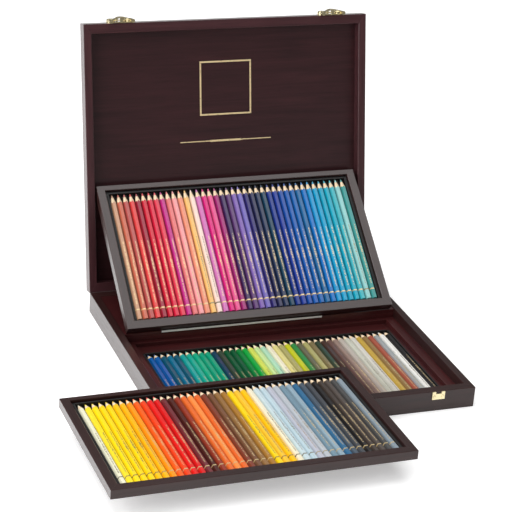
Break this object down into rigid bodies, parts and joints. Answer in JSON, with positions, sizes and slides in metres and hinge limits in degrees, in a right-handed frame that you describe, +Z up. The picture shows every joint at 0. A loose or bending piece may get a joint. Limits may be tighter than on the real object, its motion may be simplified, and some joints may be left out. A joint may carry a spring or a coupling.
{
  "type": "wooden pencil presentation case",
  "caption": "Shallow hinged wooden case with two lift-out trays and a fixed bed, filled with coloured pencils.",
  "frame": {"origin": "centre of the base's underside", "axes": "+Z up, the base's front faces -Y, the lid stands open at +Y, X runs along the hinge"},
  "size_m": [0.4915, 0.5754, 0.3655],
  "materials": {
    "case_wood": "dark stained, satin lacquer",
    "panel_wood": "dark stained, satin lacquer",
    "inner_wood": "reddish stain, satin lacquer",
    "bed_plastic": "black, fine texture",
    "brass": "polished",
    "strip_metal": "polished",
    "leads": "coloured wax and clay, matt",
    "upper_tray_lacquer_reds": "glossy coloured lacquer, gold foil line",
    "upper_tray_lacquer_violets": "glossy coloured lacquer, gold foil line",
    "upper_tray_lacquer_blues": "glossy coloured lacquer, gold foil line",
    "front_tray_lacquer_yellows": "glossy coloured lacquer, gold foil line",
    "front_tray_lacquer_browns": "glossy coloured lacquer, gold foil line",
    "front_tray_lacquer_greys": "glossy coloured lacquer, gold foil line",
    "base_lacquer_blues": "glossy coloured lacquer, gold foil line",
    "base_lacquer_greens": "glossy coloured lacquer, gold foil line",
    "base_lacquer_earths": "glossy coloured lacquer, gold foil line"
  },
  "bodies": {
    "base": {"base_front_wall": "case_wood", "base_back_wall": "case_wood", "base_left_wall": "case_wood", "base_right_wall": "case_wood", "base_bottom_panel": "inner_wood", "left_ledge": "inner_wood", "right_ledge": "inner_wood", "back_ledge": "inner_wood", "left_well_floor": "inner_wood", "right_well_floor": "inner_wood", "back_well_floor": "inner_wood", "platform_riser": "inner_wood", "platform_back_support": "inner_wood", "platform_board": "inner_wood", "tray_stop_strip": "strip_metal", "base_pencil_bed": "bed_plastic", "base_pencils_blues": "base_lacquer_blues", "base_pencils_greens": "base_lacquer_greens", "base_pencils_earths": "base_lacquer_earths", "base_pencil_leads": "leads", "left_catch_plate": "brass", "right_catch_plate": "brass", "catch_screws": "brass", "left_hinge_base_leaf": "brass", "right_hinge_base_leaf": "brass", "base_hinge_screws": "brass", "hinge_pins": "brass"},
    "lid": {"lid_front_wall": "case_wood", "lid_back_wall": "case_wood", "lid_left_wall": "case_wood", "lid_right_wall": "case_wood", "lid_panel": "panel_wood", "left_hinge_lid_leaf": "brass", "right_hinge_lid_leaf": "brass", "lid_hinge_screws": "brass", "left_latch_plate": "brass", "right_latch_plate": "brass", "latch_pins": "brass"},
    "upper_tray": {"upper_tray_front_rail": "case_wood", "upper_tray_back_rail": "case_wood", "upper_tray_left_rail": "case_wood", "upper_tray_right_rail": "case_wood", "upper_tray_bottom_board": "inner_wood", "upper_tray_pencil_bed": "bed_plastic", "upper_tray_pencils_reds": "upper_tray_lacquer_reds", "upper_tray_pencils_violets": "upper_tray_lacquer_violets", "upper_tray_pencils_blues": "upper_tray_lacquer_blues", "upper_tray_pencil_leads": "leads"},
    "front_tray": {"front_tray_front_rail": "case_wood", "front_tray_back_rail": "case_wood", "front_tray_left_rail": "case_wood", "front_tray_right_rail": "case_wood", "front_tray_bottom_board": "inner_wood", "front_tray_pencil_bed": "bed_plastic", "front_tray_pencils_yellows": "front_tray_lacquer_yellows", "front_tray_pencils_browns": "front_tray_lacquer_browns", "front_tray_pencils_greys": "front_tray_lacquer_greys", "front_tray_pencil_leads": "leads"},
    "left_latch": {"left_latch_lever": "brass"},
    "right_latch": {"right_latch_lever": "brass"}
  },
  "joints": [
    {"name": "lid_hinge", "type": "hinge", "parent": "base", "child": "lid", "pos_m": [0, 0.1696, 0.0255], "axis": [1, 0, 0], "range_deg": [0, 102.6]},
    {"name": "upper_tray_fold", "type": "hinge", "parent": "lid", "child": "upper_tray", "pos_m": [0, 0.20474, 0.14958], "axis": [1, 0, 0], "range_deg": [-139.72, 0]},
    {"name": "front_tray_slide", "type": "slide", "parent": "base", "child": "front_tray", "axis": [0, -1, 0], "range_m": [0, 0.108]},
    {"name": "left_latch_hinge", "type": "hinge", "parent": "lid", "child": "left_latch", "pos_m": [-0.141, 0.24976, 0.35843], "axis": [-1, 0, 0], "range_deg": [0, 100]},
    {"name": "right_latch_hinge", "type": "hinge", "parent": "lid", "child": "right_latch", "pos_m": [0.141, 0.24976, 0.35843], "axis": [-1, 0, 0], "range_deg": [0, 100]}
  ],
  "couplings": [
    {"joint": "upper_tray_fold", "follows": "lid_hinge", "ratio": -1.3617},
    {"joint": "front_tray_slide", "follows": "lid_hinge", "m_per_rad": 0.06}
  ]
}
